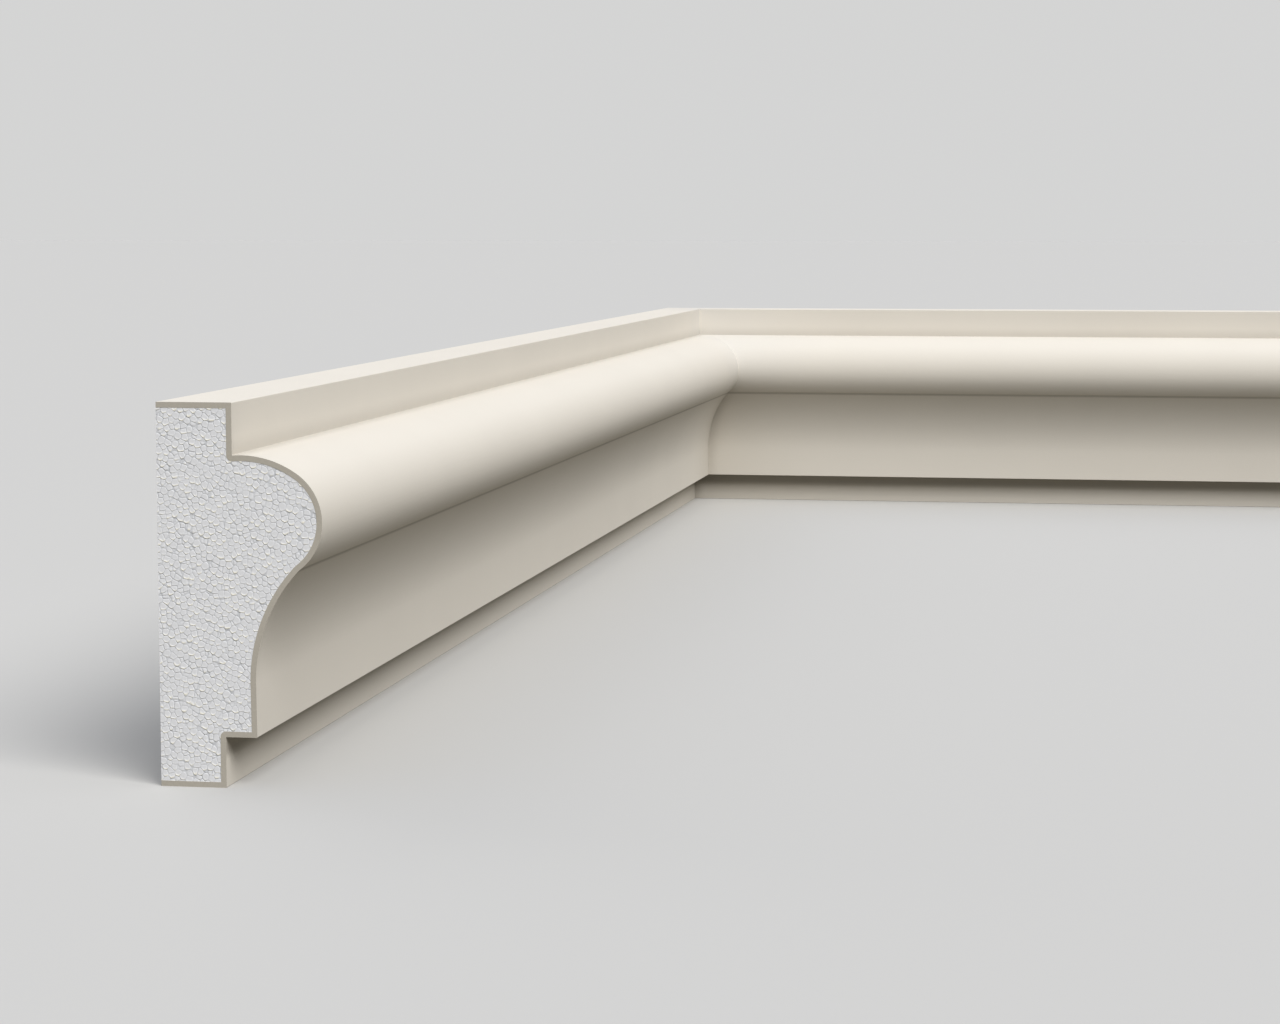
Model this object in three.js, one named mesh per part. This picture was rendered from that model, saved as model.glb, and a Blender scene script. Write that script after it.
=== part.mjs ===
// Polystyrene facade moulding for an inside corner.
// Two runs of one section meet at a mitre. Each run is a hot-wire cut foam core with a hard
// coat drawn over its top, front and underside, and its back is bare foam.
// Millimetres, +Z up. The moulding rests on its underside, its left run lies along Y and its
// right run along X, and the origin is at the middle of its box, at the level it rests on.
import * as THREE from "three";

// Runs, measured along their backs from the corner where the backs meet
const leftRunLength = 1264;
const rightRunLength = 1000;

// Section: depths are measured forward from the back, and heights as their names say
const mouldingHeight = 150;
const topFilletDepth = 30.2;
const topFilletHeight = 20.4;
const noseDepth = 65.8;
const noseRadius = 22.8;
const crownRadius = 39.3;
const crownStart = THREE.MathUtils.degToRad(55.6); // where the nose hands over to the crown
const hollowRadius = 60;
const neckDepth = 39;
const lowerFilletDepth = 26.4;
const lowerFilletHeight = 20;

// Coat, and the clear gaps between pieces
const coatThickness = 2.2;
const coatGap = 0.3;
const mitreGap = 0.3;

// Each round stretch of the section is drawn with twice as many chords
const arcDivisions = 8;

// Directions in the section, as angles from straight forward
const upward = Math.PI / 2;
const backward = Math.PI;

function angleFrom(centre, point) {
  return Math.atan2(point.y - centre.y, point.x - centre.x);
}

// The crown, the nose and the hollow touch each other smoothly, and the crown ends at the foot
// of the top fillet, so their centres follow from the radii and the depths.
function arcCentres() {
  const foot = new THREE.Vector2(topFilletDepth, mouldingHeight - topFilletHeight);
  const radiusStep = crownRadius - noseRadius;
  const crown = new THREE.Vector2();
  crown.x = noseDepth - noseRadius - radiusStep * Math.cos(crownStart);
  crown.y = foot.y - Math.sqrt(crownRadius ** 2 - (foot.x - crown.x) ** 2);
  const nose = new THREE.Vector2();
  nose.x = noseDepth - noseRadius;
  nose.y = crown.y + radiusStep * Math.sin(crownStart);
  const hollow = new THREE.Vector2();
  hollow.x = neckDepth + hollowRadius;
  const centreDistance = noseRadius + hollowRadius;
  hollow.y = nose.y - Math.sqrt(centreDistance ** 2 - (hollow.x - nose.x) ** 2);
  return { foot, crown, nose, hollow };
}

// The front of the section, from the back of the underside, round the front, to the back of
// the top. An inset moves every face into the material by that much, and turns an arc about
// the two corners that point inwards, so that the coat is as thick there as elsewhere.
// Where a low moulding leaves the hollow no neck to spring from, it springs from the step.
function frontLine(inset) {
  const { foot, crown, nose, hollow } = arcCentres();
  const step = new THREE.Vector2(lowerFilletDepth, lowerFilletHeight);
  const hollowReach = hollowRadius + inset;
  const soffitRise = Math.max(0, step.y + inset - hollow.y);
  const hollowFoot = backward - Math.asin(soffitRise / hollowReach);
  const footAngle = angleFrom(crown, foot);

  const line = new THREE.Path();
  line.moveTo(0, inset);
  line.lineTo(step.x - inset, inset);
  if (inset > 0) {
    line.absarc(step.x, step.y, inset, backward, upward, true);
  } else {
    line.lineTo(step.x, step.y);
  }
  line.lineTo(neckDepth - inset, step.y + inset);
  line.absarc(hollow.x, hollow.y, hollowReach, hollowFoot, angleFrom(hollow, nose), true);
  line.absarc(nose.x, nose.y, noseRadius - inset, angleFrom(nose, hollow), crownStart, false);
  line.absarc(crown.x, crown.y, crownRadius - inset, crownStart, footAngle, false);
  if (inset > 0) {
    line.absarc(foot.x, foot.y, inset, footAngle + Math.PI, backward, true);
  }
  line.lineTo(topFilletDepth - inset, mouldingHeight - inset);
  line.lineTo(0, mouldingHeight - inset);
  return line.getPoints(arcDivisions);
}

// The coat lies between the outer line and the line under it, and ends flush with the back.
function coatSection() {
  const outer = frontLine(0);
  const inner = frontLine(coatThickness).reverse();
  return new THREE.Shape(outer.concat(inner));
}

function coreSection() {
  return new THREE.Shape(frontLine(coatThickness + coatGap));
}

// A section drawn out along a run. The far end is cut square, and the near end is cut to the
// mitre: it stands off from the back corner by its own depth, and by half of the mitre's gap.
function drawnRun(section, length) {
  const geometry = new THREE.ExtrudeGeometry(section, {
    depth: length,
    steps: 1,
    bevelEnabled: false,
    curveSegments: arcDivisions,
  });
  const halfGapAlongRun = (mitreGap / 2) * Math.SQRT2;
  const position = geometry.getAttribute("position");
  for (let i = 0; i < position.count; i++) {
    const atMitre = position.getZ(i) < length / 2;
    if (atMitre) {
      position.setZ(i, position.getX(i) + halfGapAlongRun);
    }
  }
  geometry.computeVertexNormals();
  return geometry;
}

const foamMaterial = new THREE.MeshStandardMaterial({
  name: "white expanded polystyrene",
  color: 0xdcdcda,
  roughness: 0.85,
  metalness: 0,
});

const coatMaterial = new THREE.MeshStandardMaterial({
  name: "warm cream painted coat",
  color: 0xece5d8,
  roughness: 0.7,
  metalness: 0,
});

function namedMesh(name, geometry, material) {
  const mesh = new THREE.Mesh(geometry, material);
  mesh.name = name;
  return mesh;
}

// A run in its own frame: X is the depth forward from the back, Y the height, and Z runs along
// the back away from the corner.
function run(side, length) {
  const group = new THREE.Group();
  group.add(namedMesh(side + "_foam_core", drawnRun(coreSection(), length), foamMaterial));
  group.add(namedMesh(side + "_coat", drawnRun(coatSection(), length), coatMaterial));
  return group;
}

// The left run stands up as it is, along -Y. The right run is its mirror image in the mitre, so
// its depth runs along -Y and its length along X.
function leftRun() {
  const group = run("left", leftRunLength);
  group.rotation.x = Math.PI / 2;
  return group;
}

function rightRun() {
  const group = run("right", rightRunLength);
  const depthAxis = new THREE.Vector3(0, -1, 0);
  const heightAxis = new THREE.Vector3(0, 0, 1);
  const lengthAxis = new THREE.Vector3(1, 0, 0);
  group.matrix.makeBasis(depthAxis, heightAxis, lengthAxis);
  group.matrixAutoUpdate = false;
  return group;
}

const moulding = new THREE.Group();
moulding.add(leftRun(), rightRun());
moulding.position.set(-rightRunLength / 2, leftRunLength / 2, 0);

export default moulding;
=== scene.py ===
import math

import bmesh
import bpy
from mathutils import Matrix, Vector


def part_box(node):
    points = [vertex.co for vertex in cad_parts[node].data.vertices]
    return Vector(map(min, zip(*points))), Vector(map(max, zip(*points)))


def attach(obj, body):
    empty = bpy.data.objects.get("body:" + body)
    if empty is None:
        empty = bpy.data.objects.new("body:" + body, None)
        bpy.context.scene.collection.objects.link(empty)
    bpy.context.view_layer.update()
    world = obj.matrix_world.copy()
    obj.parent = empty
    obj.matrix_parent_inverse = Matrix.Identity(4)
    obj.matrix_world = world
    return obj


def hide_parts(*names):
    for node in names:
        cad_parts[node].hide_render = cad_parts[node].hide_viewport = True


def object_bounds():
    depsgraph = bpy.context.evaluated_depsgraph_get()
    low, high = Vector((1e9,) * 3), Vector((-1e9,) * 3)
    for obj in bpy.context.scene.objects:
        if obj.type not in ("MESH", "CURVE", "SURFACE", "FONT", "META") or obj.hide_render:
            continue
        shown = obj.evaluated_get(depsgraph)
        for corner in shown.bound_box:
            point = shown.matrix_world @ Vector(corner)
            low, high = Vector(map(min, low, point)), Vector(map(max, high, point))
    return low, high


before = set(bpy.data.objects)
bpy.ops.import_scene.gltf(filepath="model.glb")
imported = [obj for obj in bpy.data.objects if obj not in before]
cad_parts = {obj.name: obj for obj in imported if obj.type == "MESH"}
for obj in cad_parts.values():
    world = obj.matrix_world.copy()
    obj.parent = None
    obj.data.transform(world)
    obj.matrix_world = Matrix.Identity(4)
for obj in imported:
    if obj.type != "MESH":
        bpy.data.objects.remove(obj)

cad_low, cad_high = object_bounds()

# Foam cores
# Each run is a length of white expanded polystyrene, hot-wire cut to the section and mitred in
# the corner. The coat is bonded over its front, and its back is bare. At the square-cut end the
# cut runs through the beads, which stand as shallow dishes with fine grooves between them.
MM = 0.001
BACK_CORNER = Vector((cad_low.x, cad_high.y, cad_low.z))  # where the backs of the runs meet
LEFT_LENGTH = cad_high.y - cad_low.y
RIGHT_LENGTH = cad_high.x - cad_low.x
HEIGHT = cad_high.z - cad_low.z
TOP_FILLET_DEPTH = 30.2 * MM
TOP_FILLET_HEIGHT = 20.4 * MM
NOSE_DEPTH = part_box("left_coat")[1].x - BACK_CORNER.x
NOSE_RADIUS = 22.8 * MM
CROWN_RADIUS = 39.3 * MM
CROWN_START = math.radians(55.6)
NOSE_END = math.radians(-53.6)
HOLLOW_RADIUS = 63.7 * MM
HOLLOW_DEPTH = 38.75 * MM
NECK_DEPTH = 39 * MM
LOWER_FILLET_DEPTH = 26.4 * MM
LOWER_FILLET_HEIGHT = 20 * MM
COAT_THICKNESS = 2.2 * MM
CHORD = 1.2 * MM
LEAST_CHORDS = 6


def arc(centre, radius, start, end):
    chords = max(LEAST_CHORDS, math.ceil(abs(end - start) * radius / CHORD))
    turns = [start + (end - start) * i / chords for i in range(chords + 1)]
    return [centre + radius * Vector((math.cos(a), math.sin(a))) for a in turns]


def angle_from(centre, point):
    return math.atan2(point.y - centre.y, point.x - centre.x)


def section_centres():
    """The centres of the crown, the nose and the hollow, and the crease where the nose ends. The
    crown runs smoothly into the nose, and the hollow springs from the crease a little steeper."""
    foot = Vector((TOP_FILLET_DEPTH, HEIGHT - TOP_FILLET_HEIGHT))
    radius_step = CROWN_RADIUS - NOSE_RADIUS
    nose = Vector((NOSE_DEPTH - NOSE_RADIUS, 0))
    crown = Vector((nose.x - radius_step * math.cos(CROWN_START), 0))
    crown.y = foot.y - math.sqrt(CROWN_RADIUS**2 - (foot.x - crown.x) ** 2)
    nose.y = crown.y + radius_step * math.sin(CROWN_START)
    crease = nose + NOSE_RADIUS * Vector((math.cos(NOSE_END), math.sin(NOSE_END)))
    hollow = Vector((HOLLOW_DEPTH + HOLLOW_RADIUS, 0))
    hollow.y = crease.y - math.sqrt(HOLLOW_RADIUS**2 - (hollow.x - crease.x) ** 2)
    return crown, nose, crease, hollow


def front_line(inset):
    """The section's front as (depth, height) points, from the back of the underside, round the
    front, to the back of the top. Depth is measured forward from the back."""
    foot = Vector((TOP_FILLET_DEPTH, HEIGHT - TOP_FILLET_HEIGHT))
    step = Vector((LOWER_FILLET_DEPTH, LOWER_FILLET_HEIGHT))
    crown, nose, crease, hollow = section_centres()
    foot_angle = angle_from(crown, foot)
    line = [Vector((0, inset)), Vector((step.x - inset, inset))]
    line += arc(step, inset, math.pi, math.pi / 2) if inset else [step]
    line += [Vector((NECK_DEPTH - inset, step.y + inset))]
    line += arc(hollow, HOLLOW_RADIUS + inset, math.pi, angle_from(hollow, crease))
    line += arc(nose, NOSE_RADIUS - inset, NOSE_END, CROWN_START)[0 if inset else 1:]
    line += arc(crown, CROWN_RADIUS - inset, CROWN_START, foot_angle)[1:]
    if inset:
        line += arc(foot, inset, foot_angle + math.pi, math.pi)[1:]
    line += [Vector((TOP_FILLET_DEPTH - inset, HEIGHT - inset)), Vector((0, HEIGHT - inset))]
    return line


def depth_at(line, height):
    """How far the front line stands out from the back at a height."""
    reach = 0
    for a, b in zip(line, line[1:]):
        if min(a.y, b.y) <= height <= max(a.y, b.y) and a.y != b.y:
            share = (height - a.y) / (b.y - a.y)
            reach = max(reach, a.x + share * (b.x - a.x))
    return reach


HAIR = 0.01 * MM  # points closer than this are one point
LEAST_SQUARE = 0.35


def cut_face_rows(line, spacing):
    """A fine grid over the cut face, in rows that end on the front line. The line jumps at the
    step and at the foot of the top fillet, so a row there ends on a whole column. The last
    square of a row is never narrower than the least share of the spacing."""
    step_level = LOWER_FILLET_HEIGHT + COAT_THICKNESS
    foot_level = max(p.y for p in line if p.x > TOP_FILLET_DEPTH)
    levels = [line[0].y, step_level, foot_level, line[-1].y]
    bands = []
    for low, high in zip(levels, levels[1:]):
        count = math.ceil((high - low) / spacing)
        rows = []
        for j in range(count + 1):
            height = low + (high - low) * j / count
            reach = depth_at(line, min(max(height, low + HAIR), high - HAIR))
            if height in (step_level, foot_level):
                reach = round(reach / spacing) * spacing
            columns = int(reach / spacing - LEAST_SQUARE) + 1
            rows.append([(i * spacing, height) for i in range(columns)] + [(reach, height)])
        bands.append(rows)
    return bands


def placed(depth, along, height, run):
    """A point of a run: depth forward from its back, and length along it from the corner."""
    return BACK_CORNER + run["out"] * depth - run["towards"] * along + Vector((0, 0, height))


LEFT = {"towards": Vector((0, 1, 0)), "out": Vector((1, 0, 0)), "length": LEFT_LENGTH}
RIGHT = {"towards": Vector((-1, 0, 0)), "out": Vector((0, -1, 0)), "length": RIGHT_LENGTH}


def flat_foam(name, run, spacing):
    """The cut face as a fine grid, backed by one plain face that is marked to be drawn out."""
    bm = bmesh.new()
    far = run["length"]
    for rows in cut_face_rows(front_line(COAT_THICKNESS), spacing):
        drawn = [[bm.verts.new(placed(x, far, z, run)) for x, z in row] for row in rows]
        for below, above in zip(drawn, drawn[1:]):
            common = min(len(below), len(above)) - 1
            for i in range(common - 1):
                bm.faces.new((below[i], below[i + 1], above[i + 1], above[i]))
            bm.faces.new(below[common - 1:] + above[common - 1:][::-1])
    bmesh.ops.remove_doubles(bm, verts=bm.verts, dist=HAIR)
    return backed(bm, name, run)


def backed(bm, name, run):
    """Turns the cut face outwards and closes it behind with one face over the same edge."""
    bm.faces.ensure_lookup_table()
    bm.normal_update()
    if bm.faces[0].normal.dot(run["towards"]) > 0:
        bmesh.ops.reverse_faces(bm, faces=bm.faces)
    drawn_out = bm.faces.layers.bool.new("drawn_out")
    rim = [e for e in bm.edges if e.is_boundary]
    start = rim[0].link_loops[0]
    ring, loop = [], start
    while True:
        ring.append(loop.vert)
        loop = loop.link_loop_next
        while not loop.edge.is_boundary:
            loop = loop.link_loop_radial_next.link_loop_next
        if loop == start:
            break
    bm.faces.new(ring[::-1])[drawn_out] = True
    mesh = bpy.data.meshes.new(name)
    bm.to_mesh(mesh)
    bm.free()
    piece = bpy.data.objects.new(name, mesh)
    bpy.context.collection.objects.link(piece)
    return piece


def add_node(tree, kind, inputs=None, **settings):
    made = tree.nodes.new(kind)
    for name, value in settings.items():
        setattr(made, name, value)
    for socket, value in (inputs or {}).items():
        if isinstance(value, bpy.types.NodeSocket):
            tree.links.new(value, made.inputs[socket])
        else:
            made.inputs[socket].default_value = value
    return made


def maths(tree, operation, *values):
    return add_node(tree, "ShaderNodeMath", dict(enumerate(values)), operation=operation).outputs[0]


def vectors(tree, operation, *values, result=0):
    made = add_node(tree, "ShaderNodeVectorMath", operation=operation)
    for i, value in enumerate(values):
        socket = made.inputs["Scale"] if operation == "SCALE" and i == 1 else made.inputs[i]
        if isinstance(value, bpy.types.NodeSocket):
            tree.links.new(value, socket)
        else:
            socket.default_value = value
    return made.outputs[result]


def ranged(tree, value, low, high, to_low, to_high):
    """A value moved from one range to another, and held inside it."""
    made = add_node(tree, "ShaderNodeMapRange", {0: value, 1: low, 2: high, 3: to_low, 4: to_high})
    return made.outputs[0]


def geometry_tree(name, sockets):
    """An empty Geometry Nodes tree with named inputs, and its input and output nodes."""
    tree = bpy.data.node_groups.new(name, "GeometryNodeTree")
    tree.interface.new_socket("Geometry", in_out="INPUT", socket_type="NodeSocketGeometry")
    tree.interface.new_socket("Geometry", in_out="OUTPUT", socket_type="NodeSocketGeometry")
    for socket, kind in sockets.items():
        tree.interface.new_socket(socket, in_out="INPUT", socket_type="NodeSocket" + kind)
    return tree, tree.nodes.new("NodeGroupInput"), tree.nodes.new("NodeGroupOutput")


def drawn_run_tree():
    """Draws the marked back face out along the run, and cuts it to the mitre in the corner."""
    tree, given, made = geometry_tree("run drawn to its mitre", {
        "Run Length": "Float",
        "Towards Corner": "Vector",
        "Outward": "Vector",
        "Back Corner": "Vector",
        "Side Material": "Material",
        "Cut Material": "Material",
    })
    marked = add_node(
        tree, "GeometryNodeInputNamedAttribute", {"Name": "drawn_out"}, data_type="BOOLEAN"
    )
    offset = vectors(tree, "SCALE", given.outputs["Towards Corner"], given.outputs["Run Length"])
    drawn = add_node(tree, "GeometryNodeExtrudeMesh", {
        "Mesh": given.outputs["Geometry"],
        "Selection": marked.outputs["Attribute"],
        "Offset": offset,
        "Individual": False,
        "Offset Scale": 1.0,
    }, mode="FACES")
    place = add_node(tree, "GeometryNodeInputPosition").outputs[0]
    from_corner = vectors(tree, "SUBTRACT", place, given.outputs["Back Corner"])
    along = vectors(tree, "DOT_PRODUCT", from_corner, given.outputs["Towards Corner"], result="Value")
    depth = vectors(tree, "DOT_PRODUCT", from_corner, given.outputs["Outward"], result="Value")
    back_off = maths(tree, "MULTIPLY", maths(tree, "ADD", along, depth), -1.0)
    mitred = add_node(tree, "GeometryNodeSetPosition", {
        "Geometry": drawn.outputs["Mesh"],
        "Selection": drawn.outputs["Top"],
        "Offset": vectors(tree, "SCALE", given.outputs["Towards Corner"], back_off),
    })
    whole = add_node(tree, "GeometryNodeRealizeInstances", {0: mitred.outputs[0]})
    sides = add_node(tree, "GeometryNodeSetMaterial", {
        "Geometry": whole.outputs[0],
        "Material": given.outputs["Side Material"],
    })
    behind = add_node(tree, "FunctionNodeBooleanMath", {
        0: drawn.outputs["Top"],
        1: drawn.outputs["Side"],
    }, operation="OR")
    cut = add_node(tree, "FunctionNodeBooleanMath", {0: behind.outputs[0]}, operation="NOT")
    cut_end = add_node(tree, "GeometryNodeSetMaterial", {
        "Geometry": sides.outputs[0],
        "Selection": cut.outputs[0],
        "Material": given.outputs["Cut Material"],
    })
    tree.links.new(cut_end.outputs[0], made.inputs[0])
    return tree


BEAD_DISORDER = 0.4
BALL_RADIUS = 0.57  # this and the blend are shares of the lattice
BALL_BLEND = 0.08
LATTICE_SHARE = 1.26  # this and the bend are shares of the bead size
BEND_SHARE = 0.2
LATTICE_AXIS = (0.36, 0.48, 0.8)
LATTICE_TURN = math.radians(37)
MIDDLE = (0.5, 0.5, 0.5)
OTHER_CELLS = (20.5, 30.5, 40.5)


def turned(tree, vector, back=False):
    """The lattice of the beads lies askew to the cut, so that it meets them at all heights."""
    made = add_node(tree, "ShaderNodeVectorRotate", {
        "Vector": vector,
        "Axis": LATTICE_AXIS,
        "Angle": LATTICE_TURN,
    }, rotation_type="AXIS_ANGLE", invert=back)
    return made.outputs[0]


def either(tree, switch, first, second):
    """The first of two values where the switch is 1, and the second where it is 0."""
    return add_node(tree, "ShaderNodeMix", {0: switch, 2: second, 3: first}).outputs[0]


def bead_cells(tree, place, size):
    """Packed beads, seeded in two lattices that interlock like stacked balls. Gives how deep a
    place lies inside its bead and how far below its middle, in metres, and a tone per bead."""
    lattice = maths(tree, "MULTIPLY", size, LATTICE_SHARE)
    bend = add_node(tree, "ShaderNodeTexNoise", {
        "Vector": place,
        "Scale": maths(tree, "DIVIDE", 1.0, size),
        "Detail": 0.0,
    })
    centred = vectors(tree, "SUBTRACT", bend.outputs["Color"], MIDDLE)
    shift = vectors(tree, "SCALE", centred, maths(tree, "MULTIPLY", size, BEND_SHARE))
    bent = turned(tree, vectors(tree, "ADD", place, shift))
    apart = vectors(tree, "SCALE", OTHER_CELLS, lattice)
    sets = []
    for spot in (bent, vectors(tree, "ADD", bent, apart)):
        cells = {
            "Vector": spot,
            "Scale": maths(tree, "DIVIDE", 1.0, lattice),
            "Randomness": BEAD_DISORDER,
        }
        near = add_node(tree, "ShaderNodeTexVoronoi", cells, voronoi_dimensions="3D", feature="F1")
        next_one = add_node(tree, "ShaderNodeTexVoronoi", cells, voronoi_dimensions="3D", feature="F2")
        rise = turned(tree, vectors(tree, "SUBTRACT", near.outputs["Position"], spot), back=True)
        sets.append((
            near.outputs["Distance"],
            next_one.outputs["Distance"],
            add_node(tree, "ShaderNodeSeparateXYZ", {0: rise}).outputs["Z"],
            add_node(tree, "ShaderNodeSeparateXYZ", {0: near.outputs["Color"]}).outputs["X"],
        ))
    (near_a, next_a, rise_a, tone_a), (near_b, next_b, rise_b, tone_b) = sets
    nearest = maths(tree, "MINIMUM", near_a, near_b)
    farther = maths(tree, "MAXIMUM", near_a, near_b)
    second = maths(tree, "MINIMUM", farther, maths(tree, "MINIMUM", next_a, next_b))
    from_edge = maths(tree, "MULTIPLY", maths(tree, "SUBTRACT", second, nearest), 0.5)
    in_ball = maths(tree, "SUBTRACT", BALL_RADIUS, nearest)
    inside = maths(tree, "MULTIPLY", maths(tree, "SMOOTH_MIN", from_edge, in_ball, BALL_BLEND), lattice)
    in_a = maths(tree, "LESS_THAN", near_a, near_b)
    below = either(tree, in_a, rise_a, rise_b)
    tone = either(tree, in_a, tone_a, tone_b)
    return inside, below, tone


FAINTEST_GROOVE = 0.45
LOWEST_RIM = 0.4
PATCH_SHARE = 0.7  # the faint patches are a little larger than the beads
FAINT_TO_CLEAR = (0.35, 0.65)
LOW_TO_HIGH_TONE = (0.2, 0.8)
RIM_REACH = 0.4  # how far below the middle a rim is whole, as a share of the bead


def bead_marks(tree, place, size, groove_width, rim_width):
    """The groove round each bead, fainter in places, and the rim lifted along its lower side."""
    inside, below, tone = bead_cells(tree, place, size)
    groove = ranged(tree, inside, 0.0, groove_width, 1.0, 0.0)
    patches = add_node(tree, "ShaderNodeTexNoise", {
        "Vector": place,
        "Scale": maths(tree, "DIVIDE", PATCH_SHARE, size),
        "Detail": 1.0,
    })
    clearness = ranged(tree, patches.outputs[0], *FAINT_TO_CLEAR, FAINTEST_GROOVE, 1.0)
    groove = maths(tree, "MULTIPLY", groove, clearness)
    ring = ranged(tree, inside, groove_width, maths(tree, "ADD", groove_width, rim_width), 1.0, 0.0)
    low_side = ranged(tree, below, 0.0, maths(tree, "MULTIPLY", size, RIM_REACH), 0.0, 1.0)
    lift = ranged(tree, tone, *LOW_TO_HIGH_TONE, LOWEST_RIM, 1.0)
    rim = maths(tree, "MULTIPLY", ring, maths(tree, "MULTIPLY", low_side, lift))
    return groove, rim, tone


def cut_beads_tree():
    """Gives each bead on the cut face its groove, and the rim that the wire lifts below it."""
    tree, given, made = geometry_tree("beads cut through", {
        "Bead Size": "Float",
        "Groove Width": "Float",
        "Groove Depth": "Float",
        "Rim Width": "Float",
        "Rim Height": "Float",
        "Into Foam": "Vector",
        "Cut Material": "Material",
    })
    place = add_node(tree, "GeometryNodeInputPosition").outputs[0]
    size = given.outputs["Bead Size"]
    groove, rim, _ = bead_marks(
        tree, place, size, given.outputs["Groove Width"], given.outputs["Rim Width"]
    )
    cut_in = maths(tree, "MULTIPLY", groove, given.outputs["Groove Depth"])
    flat = maths(tree, "SUBTRACT", 1.0, rim)
    sunk = maths(tree, "ADD", cut_in, maths(tree, "MULTIPLY", flat, given.outputs["Rim Height"]))
    on_cut = add_node(
        tree, "GeometryNodeMaterialSelection", {"Material": given.outputs["Cut Material"]}
    )
    beaded = add_node(tree, "GeometryNodeSetPosition", {
        "Geometry": given.outputs["Geometry"],
        "Selection": on_cut.outputs[0],
        "Offset": vectors(tree, "SCALE", given.outputs["Into Foam"], sunk),
    })
    whole = add_node(tree, "GeometryNodeRealizeInstances", {0: beaded.outputs[0]})
    finished = add_node(tree, "GeometryNodeSetMaterial", {
        "Geometry": whole.outputs[0],
        "Selection": on_cut.outputs[0],
        "Material": given.outputs["Cut Material"],
    })
    tree.links.new(finished.outputs[0], made.inputs[0])
    return tree


def give_tree(piece, tree, values):
    """Adds the tree as a modifier, with its inputs set by the sockets' identifiers."""
    modifier = piece.modifiers.new(tree.name, "NODES")
    modifier.node_group = tree
    for socket in tree.interface.items_tree:
        if socket.in_out == "INPUT" and socket.name in values:
            modifier[socket.identifier] = values[socket.name]


def made_plain(piece, sharp):
    """Puts the modifiers' result in the mesh and takes the modifiers away. Edges that turn by
    more than the sharp angle stay crisp."""
    seen = piece.evaluated_get(bpy.context.evaluated_depsgraph_get())
    mesh = bpy.data.meshes.new_from_object(seen)
    mesh.name = piece.name
    piece.modifiers.clear()
    old, piece.data = piece.data, mesh
    bpy.data.meshes.remove(old)
    for name in [a.name for a in mesh.attributes if a.name == "drawn_out"]:
        mesh.attributes.remove(mesh.attributes[name])
    mesh.polygons.foreach_set("use_smooth", [True] * len(mesh.polygons))
    mesh.set_sharp_from_angle(angle=sharp)
    mesh.update()


BEAD = 2.45 * MM
GRID = 0.27 * MM
GROOVE_WIDTH = 0.2 * MM
GROOVE_DEPTH = 0.08 * MM
RIM_WIDTH = 0.42 * MM
RIM_HEIGHT = 0.09 * MM


def shader_group(name, inputs, outputs):
    """An empty shader node group with named sockets, and its input and output nodes."""
    tree = bpy.data.node_groups.new(name, "ShaderNodeTree")
    for socket, (kind, value) in inputs.items():
        made = tree.interface.new_socket(socket, in_out="INPUT", socket_type="NodeSocket" + kind)
        if value is not None:
            made.default_value = value
    for socket, kind in outputs.items():
        tree.interface.new_socket(socket, in_out="OUTPUT", socket_type="NodeSocket" + kind)
    return tree, tree.nodes.new("NodeGroupInput"), tree.nodes.new("NodeGroupOutput")


def bead_pattern_group():
    """Where the beads' grooves lie, a tone for each bead, and the height of grooves and rims."""
    tree, given, made = shader_group("foam beads", {
        "Place": ("Vector", None),
        "Bead Size": ("Float", BEAD),
        "Groove Width": ("Float", GROOVE_WIDTH),
        "Rim Width": ("Float", RIM_WIDTH),
    }, {"Groove": "Float", "Tone": "Float", "Height": "Float"})
    size = given.outputs["Bead Size"]
    groove, rim, tone = bead_marks(
        tree, given.outputs["Place"], size, given.outputs["Groove Width"], given.outputs["Rim Width"]
    )
    height = maths(tree, "SUBTRACT", rim, groove)
    tree.links.new(groove, made.inputs["Groove"])
    tree.links.new(tone, made.inputs["Tone"])
    tree.links.new(height, made.inputs["Height"])
    return tree


BEAD_PATTERN = bead_pattern_group()


def new_material(name, **plain):
    """A material with one Principled shader, whose plain values are set on its own sockets."""
    material = bpy.data.materials.new(name)
    material.use_nodes = True
    tree = material.node_tree
    shader = tree.nodes["Principled BSDF"]
    for socket, value in plain.items():
        shader.inputs[socket.replace("_", " ")].default_value = value
    return material, tree, shader


COLOUR_INPUTS = (6, 7)  # these and the output are the colour sockets of a Mix node
COLOUR_OUTPUT = 2


def mixed(tree, share, low, high):
    """A colour between two colours, by a share that changes over the surface."""
    made = add_node(tree, "ShaderNodeMix", {0: share}, data_type="RGBA", clamp_factor=True)
    for socket, value in zip(COLOUR_INPUTS, (low, high)):
        if isinstance(value, bpy.types.NodeSocket):
            tree.links.new(value, made.inputs[socket])
        else:
            made.inputs[socket].default_value = (*value, 1)
    return made.outputs[COLOUR_OUTPUT]


PALER, DARKER = 1.01, 0.99  # from one bead to another
RIM_HIGHLIGHT_RANGE = (0.2, 0.8)  # the rims take a painted warm highlight over this range of their height
PORES = 2500.0
PORE_RELIEF = 0.03
USUAL_NOISE = (0.3, 0.7)  # where nearly all of a noise texture's values lie
FOAM_ROUGH = (0.5, 0.7)
FOAM_SHINE = 0.35


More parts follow.
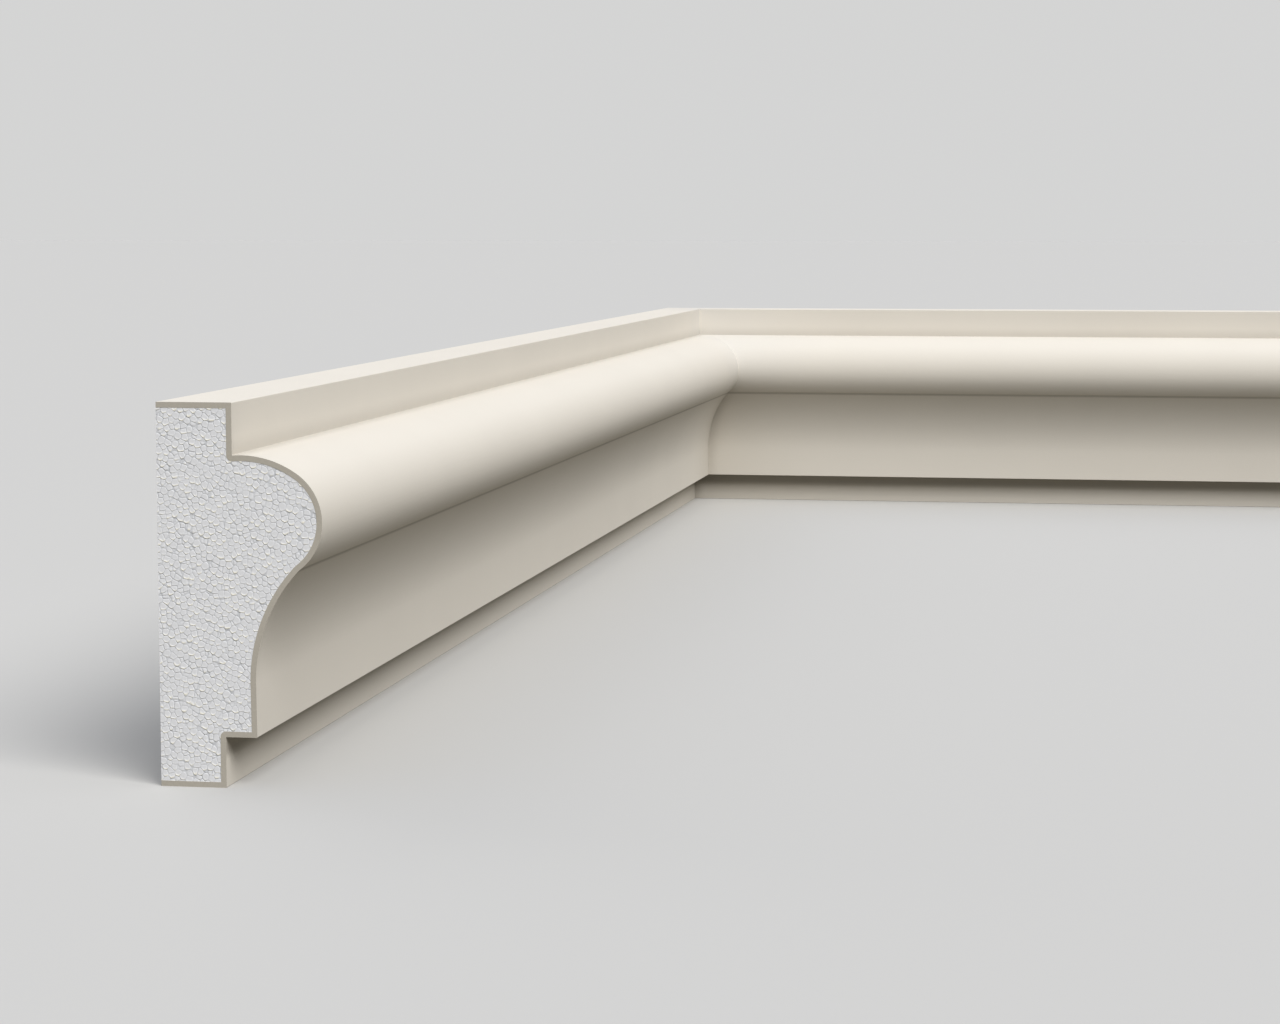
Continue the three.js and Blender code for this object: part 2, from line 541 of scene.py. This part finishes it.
def foam_material(name, face, groove_shade_colour, rim_highlight_colour, relief):
    """White foam, with a tone for each bead, painted shade in the grooves, a painted warm highlight on
    the rims along the lower side of each bead, and fine pores.
    """
    material, tree, shader = new_material(name, Specular_IOR_Level=FOAM_SHINE)
    place = add_node(tree, "ShaderNodeTexCoord").outputs["Object"]
    beads = add_node(tree, "ShaderNodeGroup", node_tree=BEAD_PATTERN)
    tree.links.new(place, beads.inputs["Place"])
    beads.inputs["Bead Size"].default_value = BEAD
    beads.inputs["Groove Width"].default_value = GROOVE_WIDTH
    beads.inputs["Rim Width"].default_value = RIM_WIDTH
    paler = tuple(c * PALER for c in face)
    darker = tuple(c * DARKER for c in face)
    bead_colour = mixed(tree, beads.outputs["Tone"], darker, paler)
    # Painted highlight: the rims along the lower side of each bead take a warm cream, as light from
    # above would give them.
    warm = ranged(tree, beads.outputs["Height"], *RIM_HIGHLIGHT_RANGE, 0.0, 1.0)
    rim_highlighted = mixed(tree, warm, bead_colour, rim_highlight_colour)
    # Painted shade: the grooves between beads are greyer than the beads, and a little cool against the
    # warm light from below.
    groove_shaded = mixed(tree, beads.outputs["Groove"], rim_highlighted, groove_shade_colour)
    tree.links.new(groove_shaded, shader.inputs["Base Color"])
    pores = add_node(tree, "ShaderNodeTexNoise", {"Vector": place, "Scale": PORES, "Detail": 2.0})
    rough = ranged(tree, pores.outputs[0], *USUAL_NOISE, *FOAM_ROUGH)
    tree.links.new(rough, shader.inputs["Roughness"])
    skin = maths(tree, "MULTIPLY", pores.outputs[0], PORE_RELIEF)
    height = maths(tree, "ADD", maths(tree, "MULTIPLY", beads.outputs["Height"], relief), skin)
    bump = add_node(tree, "ShaderNodeBump", {"Height": height, "Strength": 1.0, "Distance": MM})
    tree.links.new(bump.outputs[0], shader.inputs["Normal"])
    return material


CUT_FOAM = foam_material(
    "cut polystyrene beads",
    face=(0.90, 0.91, 0.94),
    groove_shade_colour=(0.73, 0.75, 0.785),
    rim_highlight_colour=(1.0, 0.965, 0.84),
    relief=0.1,
)
WIRE_CUT_FOAM = foam_material(
    "hot-wire cut polystyrene",
    face=(0.88, 0.88, 0.87),
    groove_shade_colour=(0.70, 0.70, 0.70),
    rim_highlight_colour=(0.93, 0.91, 0.88),
    relief=0.12,
)
CORE_SHARP = math.radians(15)
DRAWN_RUN = drawn_run_tree()
CUT_BEADS = cut_beads_tree()


def run_values(run, side_material, cut_material):
    """What the tree that draws a run out has to know about it."""
    return {
        "Run Length": run["length"],
        "Towards Corner": run["towards"],
        "Outward": run["out"],
        "Back Corner": BACK_CORNER,
        "Side Material": side_material,
        "Cut Material": cut_material,
    }


for side, run in (("left", LEFT), ("right", RIGHT)):
    core = flat_foam(side + "_run_foam", run, GRID)
    give_tree(core, DRAWN_RUN, run_values(run, WIRE_CUT_FOAM, CUT_FOAM))
    give_tree(core, CUT_BEADS, {
        "Bead Size": BEAD,
        "Groove Width": GROOVE_WIDTH,
        "Groove Depth": GROOVE_DEPTH,
        "Rim Width": RIM_WIDTH,
        "Rim Height": RIM_HEIGHT,
        "Into Foam": run["towards"],
        "Cut Material": CUT_FOAM,
    })
    made_plain(core, CORE_SHARP)
    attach(core, "root")
    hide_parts(side + "_foam_core")

# Coats
# A hard mineral and acrylic mortar, drawn over each core through a template and painted a warm
# cream. It is one even thickness, wraps the top, the front and the underside, and shows as a
# greige band where the run is cut square.
ARRIS = 0.35 * MM
ARRIS_CHORDS = 4
SQUARE_TURN = math.radians(50)  # a corner that turns by more than this is a square one


def eased(line, radius):
    """The line with each square corner turned on a small curve, as a worn template leaves it."""
    soft = [line[0]]
    for before, corner, after in zip(line, line[1:], line[2:]):
        arriving = (corner - before).normalized()
        leaving = (after - corner).normalized()
        turn = arriving.angle_signed(leaving)
        if abs(turn) < SQUARE_TURN:
            soft.append(corner)
            continue
        reach = radius * math.tan(abs(turn) / 2)
        begin, end = corner - arriving * reach, corner + leaving * reach
        for i in range(ARRIS_CHORDS + 1):
            share = i / ARRIS_CHORDS
            near = begin.lerp(corner, share)
            soft.append(near.lerp(corner.lerp(end, share), share))
    return soft + [line[-1]]


def flat_coat(name, run):
    """The coat's cut band as one face, backed by a second one that is marked to be drawn out."""
    bm = bmesh.new()
    band = eased(front_line(0), ARRIS) + front_line(COAT_THICKNESS)[::-1]
    bm.faces.new([bm.verts.new(placed(p.x, run["length"], p.y, run)) for p in band])
    bm.normal_update()
    bmesh.ops.triangulate(bm, faces=bm.faces[:])
    return backed(bm, name, run)


TEMPLATE_LINES = 700.0
CLOUDS = 14.0


def coat_grain_group():
    """Fine sand in the coat, faint lines left by the template, and broad shifts of tone."""
    tree, given, made = shader_group("coat grain", {
        "Place": ("Vector", None),
        "Grain Size": ("Float", 0.6 * MM),
        "Draw": ("Vector", (1, 1, 1)),
    }, {"Grain": "Float", "Lines": "Float", "Cloud": "Float"})
    grain = add_node(tree, "ShaderNodeTexNoise", {
        "Vector": given.outputs["Place"],
        "Scale": maths(tree, "DIVIDE", 1.0, given.outputs["Grain Size"]),
        "Detail": 3.0,
        "Roughness": 0.6,
    })
    drawn = vectors(tree, "MULTIPLY", given.outputs["Place"], given.outputs["Draw"])
    lines = add_node(tree, "ShaderNodeTexNoise", {
        "Vector": drawn,
        "Scale": TEMPLATE_LINES,
        "Detail": 2.0,
    })
    cloud = add_node(tree, "ShaderNodeTexNoise", {
        "Vector": given.outputs["Place"],
        "Scale": CLOUDS,
        "Detail": 3.0,
    })
    tree.links.new(grain.outputs[0], made.inputs["Grain"])
    tree.links.new(lines.outputs[0], made.inputs["Lines"])
    tree.links.new(cloud.outputs[0], made.inputs["Cloud"])
    return tree


def nook_shade_group():
    """How close a place is to a line that runs along the moulding at one depth and height, as the share
    of painted shade there.
    """
    tree, given, made = shader_group("painted shade in a nook", {
        "Place": ("Vector", None),
        "Back Corner": ("Vector", (0, 0, 0)),
        "Outward": ("Vector", (1, 0, 0)),
        "Line Depth": ("Float", 0.0),
        "Line Height": ("Float", 0.0),
        "Thick To": ("Float", 0.0),
        "Gone At": ("Float", 5 * MM),
    }, {"Shade": "Float"})
    from_corner = vectors(tree, "SUBTRACT", given.outputs["Place"], given.outputs["Back Corner"])
    depth = vectors(tree, "DOT_PRODUCT", from_corner, given.outputs["Outward"], result="Value")
    height = add_node(tree, "ShaderNodeSeparateXYZ", {0: from_corner}).outputs["Z"]
    across = maths(tree, "SUBTRACT", depth, given.outputs["Line Depth"])
    upward = maths(tree, "SUBTRACT", height, given.outputs["Line Height"])
    squares = [maths(tree, "MULTIPLY", side, side) for side in (across, upward)]
    dust = add_node(tree, "ShaderNodeMapRange", {
        "Value": maths(tree, "SQRT", maths(tree, "ADD", *squares)),
        "From Min": given.outputs["Thick To"],
        "From Max": given.outputs["Gone At"],
        "To Min": 1.0,
        "To Max": 0.0,
    }, interpolation_type="SMOOTHSTEP")
    tree.links.new(dust.outputs[0], made.inputs["Shade"])
    return tree


COAT_GRAIN = coat_grain_group()
NOOK_SHADE = nook_shade_group()


CREASE = section_centres()[2]
# Painted shade: the paint is darkened along these lines, where shade falls at the foot of the top
# fillet, in the crease under the nose and under the step.
SHADED_NOOKS = (
    {"depth": TOP_FILLET_DEPTH, "height": HEIGHT - TOP_FILLET_HEIGHT, "thick_to": 0.0,
     "gone_at": 8 * MM, "strength": 0.22},
    {"depth": CREASE.x, "height": CREASE.y, "thick_to": 0.0,
     "gone_at": 2.2 * MM, "strength": 0.4},
    {"depth": LOWER_FILLET_DEPTH, "height": LOWER_FILLET_HEIGHT, "thick_to": 5 * MM,
     "gone_at": 9.5 * MM, "strength": 0.5},
)
# The colour of the painted shade.
SHADE_COLOUR = (0.19, 0.17, 0.14)
# Painted shade beside the mitre, where the runs shade each other and throw warm light on each other:
# brown on the lower part, a cool tint over the crown, and a little more brown right beside the mitre.
MITRE_SHADE_REACH = 100 * MM
MITRE_SHADE_LEVELS = (80 * MM, 105 * MM)  # the painted shade is brown below these, and a faint cool tint above
MITRE_SHADE_STRENGTH = 0.22
JOINT_SHADE_REACH = 8 * MM
JOINT_SHADE_STRENGTH = 0.12
COOL_TINT = (0.30, 0.36, 0.46)
COOL_TINT_STRENGTH = 0.12


def painted_shade(tree, place, colour, run):
    """The colour with painted shade: darker at the foot of the top fillet, in the crease under the nose
    and under the step, and beside the mitre, brown low down and a cool tint over the crown."""
    # Painted shade along each nook line.
    for line in SHADED_NOOKS:
        nook = add_node(tree, "ShaderNodeGroup", node_tree=NOOK_SHADE)
        tree.links.new(place, nook.inputs["Place"])
        nook.inputs["Back Corner"].default_value = BACK_CORNER
        nook.inputs["Outward"].default_value = run["out"]
        nook.inputs["Line Depth"].default_value = line["depth"]
        nook.inputs["Line Height"].default_value = line["height"]
        nook.inputs["Thick To"].default_value = line["thick_to"]
        nook.inputs["Gone At"].default_value = line["gone_at"]
        share = maths(tree, "MULTIPLY", nook.outputs["Shade"], line["strength"])
        colour = mixed(tree, share, colour, SHADE_COLOUR)
    # Painted shade beside the mitre: brown below, a cool tint above.
    from_corner = vectors(tree, "SUBTRACT", place, tuple(BACK_CORNER))
    depth = vectors(tree, "DOT_PRODUCT", from_corner, tuple(run["out"]), result="Value")
    along = vectors(tree, "DOT_PRODUCT", from_corner, tuple(-run["towards"]), result="Value")
    height = add_node(tree, "ShaderNodeSeparateXYZ", {0: from_corner}).outputs["Z"]
    from_mitre = maths(tree, "SUBTRACT", along, depth)
    mitre_shade = maths(tree, "POWER", ranged(tree, from_mitre, 0.0, MITRE_SHADE_REACH, 1.0, 0.0), 2.0)
    joint_shade = ranged(tree, from_mitre, 0.0, JOINT_SHADE_REACH, JOINT_SHADE_STRENGTH, 0.0)
    brown_shade = maths(tree, "ADD", maths(tree, "MULTIPLY", mitre_shade, MITRE_SHADE_STRENGTH), joint_shade)
    low_down = ranged(tree, height, *MITRE_SHADE_LEVELS, 1.0, 0.0)
    cool_tint_share = maths(tree, "MULTIPLY", mitre_shade, ranged(tree, height, *MITRE_SHADE_LEVELS, 0.0, COOL_TINT_STRENGTH))
    colour = mixed(tree, cool_tint_share, colour, COOL_TINT)
    return mixed(tree, maths(tree, "MULTIPLY", brown_shade, low_down), colour, SHADE_COLOUR)


ROUGH_SPREAD = 0.06
LINE_RELIEF = 0.02
COAT_SHINE = 0.05
HALF = 0.5  # of the shift in tone comes from the specks, and as much from the clouds


def coat_material(name, colour, draw, grain_size, grain_height, tone, plain_rough, run=None):
    """Mortar or paint with fine sand and template lines, and painted shade where a run is given."""
    material, tree, shader = new_material(name, Specular_IOR_Level=COAT_SHINE)
    place = add_node(tree, "ShaderNodeTexCoord").outputs["Object"]
    grain = add_node(tree, "ShaderNodeGroup", node_tree=COAT_GRAIN)
    tree.links.new(place, grain.inputs["Place"])
    grain.inputs["Grain Size"].default_value = grain_size
    grain.inputs["Draw"].default_value = draw
    darker = tuple(c * (1 - tone) for c in colour)
    paler = tuple(min(1, c * (1 + tone)) for c in colour)
    speck = ranged(tree, grain.outputs["Grain"], *USUAL_NOISE, 0.0, HALF)
    cloud = ranged(tree, grain.outputs["Cloud"], *USUAL_NOISE, 0.0, HALF)
    share = maths(tree, "ADD", speck, cloud)
    clean = mixed(tree, share, darker, paler)
    shown = painted_shade(tree, place, clean, run) if run else clean
    tree.links.new(shown, shader.inputs["Base Color"])
    least, most = plain_rough - ROUGH_SPREAD, plain_rough + ROUGH_SPREAD
    rough = ranged(tree, grain.outputs["Grain"], *USUAL_NOISE, least, most)
    tree.links.new(rough, shader.inputs["Roughness"])
    lines = maths(tree, "MULTIPLY", grain.outputs["Lines"], LINE_RELIEF)
    height = maths(tree, "ADD", maths(tree, "MULTIPLY", grain.outputs["Grain"], grain_height), lines)
    bump = add_node(tree, "ShaderNodeBump", {"Height": height, "Strength": 1.0, "Distance": MM})
    tree.links.new(bump.outputs[0], shader.inputs["Normal"])
    return material


CUT_MORTAR = coat_material(
    "cut mortar",
    colour=(0.52, 0.485, 0.42),
    draw=(1, 1, 1),
    grain_size=0.9 * MM,
    grain_height=0.05,
    tone=0.06,
    plain_rough=0.85,
)
ALONG_Y, ALONG_X = (1, 0.02, 1), (0.02, 1, 1)
COAT_SHARP = math.radians(7)

for side, run, draw in (("left", LEFT, ALONG_Y), ("right", RIGHT, ALONG_X)):
    # Each run's paint carries painted shade in its nooks and beside the mitre.
    paint = coat_material(
        side + " coat paint",
        colour=(0.785, 0.742, 0.667),
        draw=draw,
        grain_size=0.5 * MM,
        grain_height=0.03,
        tone=0.02,
        plain_rough=0.7,
        run=run,
    )
    coat = flat_coat(side + "_run_coat", run)
    give_tree(coat, DRAWN_RUN, run_values(run, paint, CUT_MORTAR))
    made_plain(coat, COAT_SHARP)
    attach(coat, "root")
    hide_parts(side + "_coat")

# Floor
# A plain pale studio floor, level with the underside that the moulding rests on. It takes the
# soft shadow and throws no light back up, so that the undersides stay as dim as the real ones.
FLOOR_SIDE = 60.0
half_side = FLOOR_SIDE / 2
corner_signs = ((-1, -1), (1, -1), (1, 1), (-1, 1))
floor_corners = [(x * half_side, y * half_side, cad_low.z) for x, y in corner_signs]
floor_mesh = bpy.data.meshes.new("floor")
floor_mesh.from_pydata(floor_corners, [], [(0, 1, 2, 3)])
floor = bpy.data.objects.new("floor", floor_mesh)
bpy.context.collection.objects.link(floor)
floor_material, _, _ = new_material(
    "pale floor", Base_Color=(0.58, 0.575, 0.56, 1), Roughness=0.9, Specular_IOR_Level=0.0
)
floor_mesh.materials.append(floor_material)
floor.visible_diffuse = False
floor.visible_glossy = False

# Light
# One large soft key lamp from the front right, half-way up the sky, as bright on both runs, and
# a weak low one behind for the tops. A cool sky fills in from above, a dim warm glow from below.
SKY = (0.58, 0.61, 0.68)
GLOW = (0.224, 0.211, 0.182)
BACKDROP = (0.66, 0.661, 0.658)
HORIZON_BAND = (-0.02, 0.1)
scene = bpy.context.scene
scene.view_settings.view_transform = "Standard"
scene.view_settings.look = "None"
world = bpy.data.worlds.new("studio")
scene.world = world
world.use_nodes = True
sky = world.node_tree
fill = sky.nodes["Background"]
direction = add_node(sky, "ShaderNodeTexCoord").outputs["Generated"]
rise = add_node(sky, "ShaderNodeSeparateXYZ", {0: direction}).outputs["Z"]
towards_zenith = add_node(sky, "ShaderNodeMapRange", {0: rise}, interpolation_type="SMOOTHSTEP")
above = add_node(sky, "ShaderNodeMapRange", {
    "Value": rise,
    "From Min": HORIZON_BAND[0],
    "From Max": HORIZON_BAND[1],
}, interpolation_type="SMOOTHSTEP")
overhead = mixed(sky, towards_zenith.outputs[0], (0, 0, 0), SKY)
sky.links.new(mixed(sky, above.outputs[0], GLOW, overhead), fill.inputs["Color"])
backdrop = add_node(sky, "ShaderNodeBackground", {"Color": (*BACKDROP, 1)})
seen = add_node(sky, "ShaderNodeLightPath").outputs["Is Camera Ray"]
joined = add_node(sky, "ShaderNodeMixShader", {0: seen, 1: fill.outputs[0], 2: backdrop.outputs[0]})
sky.links.new(joined.outputs[0], sky.nodes["World Output"].inputs["Surface"])
LAMP_DISTANCE = 4.0


def sun_lamp(name, turn, rise, spread, strength, colour):
    """A lamp so far off that its light comes from one direction, softened by its spread."""
    data = bpy.data.lights.new(name, "SUN")
    data.energy = strength
    data.color = colour
    data.angle = spread
    lamp = bpy.data.objects.new(name, data)
    level = Vector((math.cos(turn), math.sin(turn), 0)) * math.cos(rise)
    lamp.location = BACK_CORNER + (level + Vector((0, 0, math.sin(rise)))) * LAMP_DISTANCE
    lamp.rotation_euler = (BACK_CORNER - lamp.location).to_track_quat("-Z", "Y").to_euler()
    bpy.context.collection.objects.link(lamp)


sun_lamp(
    "key lamp",
    turn=math.radians(313.6),
    rise=math.radians(44.7),
    spread=math.radians(40),
    strength=2.9,
    colour=(1.0, 0.983, 0.953),
)
sun_lamp(
    "rear lamp",
    turn=math.radians(135),
    rise=math.radians(22),
    spread=math.radians(50),
    strength=0.7,
    colour=(1.0, 0.98, 0.95),
)

# Camera
# A long lens just above the moulding's top, looking along the left run into the corner.
SENSOR_WIDTH = 36.0
LENS = 84.27
CAMERA_PLACE = Vector((0.37462, -2.37035, 0.21961))
LOOKING_DOWN = math.radians(5.562)
LOOKING_LEFT = math.radians(9.5105)
camera_data = bpy.data.cameras.new("camera")
camera_data.sensor_width = SENSOR_WIDTH
camera_data.lens = LENS
camera = bpy.data.objects.new("camera", camera_data)
camera.location = BACK_CORNER + CAMERA_PLACE
camera.rotation_euler = (math.pi / 2 - LOOKING_DOWN, 0, LOOKING_LEFT)
bpy.context.collection.objects.link(camera)
scene.camera = camera
